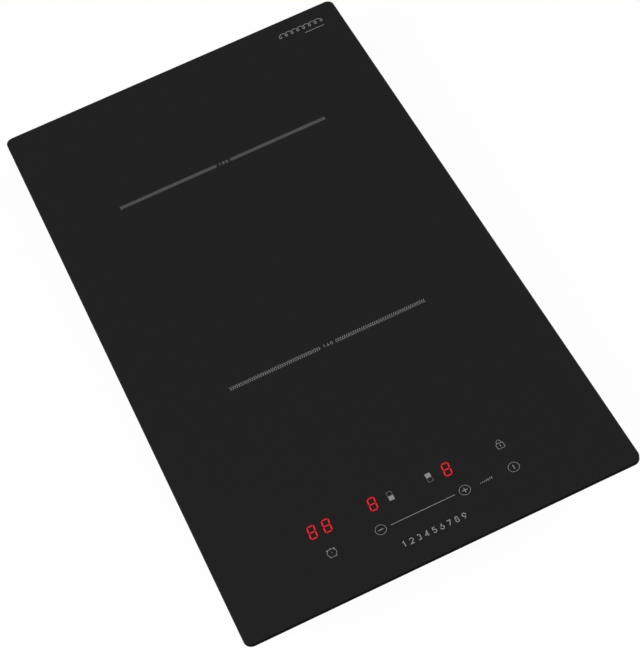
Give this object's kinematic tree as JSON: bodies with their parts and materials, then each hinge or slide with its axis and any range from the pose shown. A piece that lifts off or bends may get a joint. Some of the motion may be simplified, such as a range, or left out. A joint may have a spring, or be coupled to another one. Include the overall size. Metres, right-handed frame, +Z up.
{
  "type": "built-in induction cooktop",
  "caption": "Two-zone built-in induction cooktop: black glass plate with touch controls over a steel tray with coils, electronics, fan and worktop clamps.",
  "frame": {"origin": "underside of the tray, below the centre of the glass plate", "axes": "+Z up, +Y to the back of the worktop, +X to the user's right; the user stands at -Y"},
  "size_m": [0.29, 0.52, 0.056],
  "materials": {
    "glass_ceramic": "polished black glass-ceramic",
    "foam_seal": "matt closed-cell foam",
    "galvanised_sheet": "galvanised, lightly spangled",
    "zinc_steel": "bright zinc plating",
    "black_plastic": "moulded, fine grain",
    "black_rubber": "matt moulded rubber",
    "aluminium_sheet": "mill finish",
    "mica": "matt pressed mica",
    "ceramic_felt": "matt fibre felt",
    "copper_litz": "enamelled stranded copper",
    "white_plastic": "moulded, glass-filled",
    "ferrite": "matt sintered",
    "spring_steel": "drawn wire",
    "green_board": "solder-masked laminate",
    "display_body": "moulded, with filled segments",
    "gold_spring": "gold-flashed wire",
    "led_body": "moulded lens",
    "brown_board": "paper laminate",
    "aluminium_profile": "extruded",
    "black_epoxy": "moulded epoxy",
    "yellow_capacitor": "glossy casing",
    "copper_winding": "enamelled copper",
    "board_part_mix": "moulded casings",
    "brass_screw": "turned",
    "motor_iron": "laminated and sintered",
    "bronze": "sintered, oil-filled",
    "wire_sleeve": "extruded sleeve",
    "ribbon_sleeve": "extruded sleeve"
  },
  "bodies": {
    "root": {"glass_top": "glass_ceramic", "edge_seal": "foam_seal", "glass_frame": "galvanised_sheet", "tray": "galvanised_sheet", "tray_screws": "zinc_steel", "fan_grille": "black_plastic", "inlet_plate": "black_plastic", "cable_grommet": "black_rubber", "coil_deck": "aluminium_sheet", "deck_posts": "zinc_steel", "inner_screws": "zinc_steel", "mica_sheets": "mica", "felt_pads": "ceramic_felt", "coil_front": "copper_litz", "coil_rear": "copper_litz", "coil_former_front": "white_plastic", "coil_former_rear": "white_plastic", "ferrite_bars": "ferrite", "support_springs": "spring_steel", "heat_sensors": "zinc_steel", "control_holder": "black_plastic", "control_board": "green_board", "timer_display": "display_body", "zone_displays": "display_body", "touch_springs": "gold_spring", "indicator_leds": "led_body", "power_board": "brown_board", "board_standoffs": "zinc_steel", "heatsink": "aluminium_profile", "power_transistors": "black_epoxy", "bridge_rectifier": "black_epoxy", "film_capacitors": "yellow_capacitor", "filter_choke": "copper_winding", "board_parts": "board_part_mix", "terminal_block": "white_plastic", "terminal_screws": "brass_screw", "fan_casing": "black_plastic", "fan_cover": "black_plastic", "fan_stator": "motor_iron", "fan_bearing": "bronze", "coil_leads": "copper_litz", "mains_leads": "wire_sleeve", "fan_lead": "wire_sleeve", "control_ribbon": "ribbon_sleeve", "clamp_brackets": "galvanised_sheet"},
    "fan_rotor": {"fan_impeller": "black_plastic", "fan_magnet": "motor_iron", "fan_shaft": "zinc_steel"},
    "clamp_washer_front_left": {"clamp_washer_front_left": "zinc_steel"},
    "clamp_screw_front_left": {"clamp_screw_front_left": "zinc_steel"},
    "clamp_arm_front_left": {"clamp_arm_front_left": "galvanised_sheet"},
    "clamp_washer_front_right": {"clamp_washer_front_right": "zinc_steel"},
    "clamp_screw_front_right": {"clamp_screw_front_right": "zinc_steel"},
    "clamp_arm_front_right": {"clamp_arm_front_right": "galvanised_sheet"},
    "clamp_washer_rear_left": {"clamp_washer_rear_left": "zinc_steel"},
    "clamp_screw_rear_left": {"clamp_screw_rear_left": "zinc_steel"},
    "clamp_arm_rear_left": {"clamp_arm_rear_left": "galvanised_sheet"},
    "clamp_washer_rear_right": {"clamp_washer_rear_right": "zinc_steel"},
    "clamp_screw_rear_right": {"clamp_screw_rear_right": "zinc_steel"},
    "clamp_arm_rear_right": {"clamp_arm_rear_right": "galvanised_sheet"}
  },
  "joints": [
    {"name": "fan_spin", "type": "hinge", "parent": "root", "child": "fan_rotor", "pos_m": [0.046, 0.166, 0.012], "axis": [0, 0, 1], "continuous": true},
    {"name": "clamp_lift_front_left", "type": "slide", "parent": "root", "child": "clamp_washer_front_left", "axis": [0, 0, 1], "range_m": [0, 0.0175]},
    {"name": "clamp_turn_front_left", "type": "hinge", "parent": "clamp_washer_front_left", "child": "clamp_screw_front_left", "pos_m": [-0.1295, -0.165, 0.0035], "axis": [0, 0, 1], "range_deg": [0, 9000]},
    {"name": "clamp_swing_front_left", "type": "hinge", "parent": "clamp_washer_front_left", "child": "clamp_arm_front_left", "pos_m": [-0.1295, -0.165, 0.0035], "axis": [0, 0, 1], "range_deg": [0, 90]},
    {"name": "clamp_lift_front_right", "type": "slide", "parent": "root", "child": "clamp_washer_front_right", "axis": [0, 0, 1], "range_m": [0, 0.0175]},
    {"name": "clamp_turn_front_right", "type": "hinge", "parent": "clamp_washer_front_right", "child": "clamp_screw_front_right", "pos_m": [0.1295, -0.165, 0.0035], "axis": [0, 0, 1], "range_deg": [0, 9000]},
    {"name": "clamp_swing_front_right", "type": "hinge", "parent": "clamp_washer_front_right", "child": "clamp_arm_front_right", "pos_m": [0.1295, -0.165, 0.0035], "axis": [0, 0, -1], "range_deg": [0, 90]},
    {"name": "clamp_lift_rear_left", "type": "slide", "parent": "root", "child": "clamp_washer_rear_left", "axis": [0, 0, 1], "range_m": [0, 0.0175]},
    {"name": "clamp_turn_rear_left", "type": "hinge", "parent": "clamp_washer_rear_left", "child": "clamp_screw_rear_left", "pos_m": [-0.1295, 0.165, 0.0035], "axis": [0, 0, 1], "range_deg": [0, 9000]},
    {"name": "clamp_swing_rear_left", "type": "hinge", "parent": "clamp_washer_rear_left", "child": "clamp_arm_rear_left", "pos_m": [-0.1295, 0.165, 0.0035], "axis": [0, 0, -1], "range_deg": [0, 90]},
    {"name": "clamp_lift_rear_right", "type": "slide", "parent": "root", "child": "clamp_washer_rear_right", "axis": [0, 0, 1], "range_m": [0, 0.0175]},
    {"name": "clamp_turn_rear_right", "type": "hinge", "parent": "clamp_washer_rear_right", "child": "clamp_screw_rear_right", "pos_m": [0.1295, 0.165, 0.0035], "axis": [0, 0, 1], "range_deg": [0, 9000]},
    {"name": "clamp_swing_rear_right", "type": "hinge", "parent": "clamp_washer_rear_right", "child": "clamp_arm_rear_right", "pos_m": [0.1295, 0.165, 0.0035], "axis": [0, 0, 1], "range_deg": [0, 90]}
  ],
  "couplings": [
    {"joint": "clamp_turn_front_left", "follows": "clamp_lift_front_left", "rad_per_m": 8976},
    {"joint": "clamp_turn_front_right", "follows": "clamp_lift_front_right", "rad_per_m": 8976},
    {"joint": "clamp_turn_rear_left", "follows": "clamp_lift_rear_left", "rad_per_m": 8976},
    {"joint": "clamp_turn_rear_right", "follows": "clamp_lift_rear_right", "rad_per_m": 8976}
  ]
}
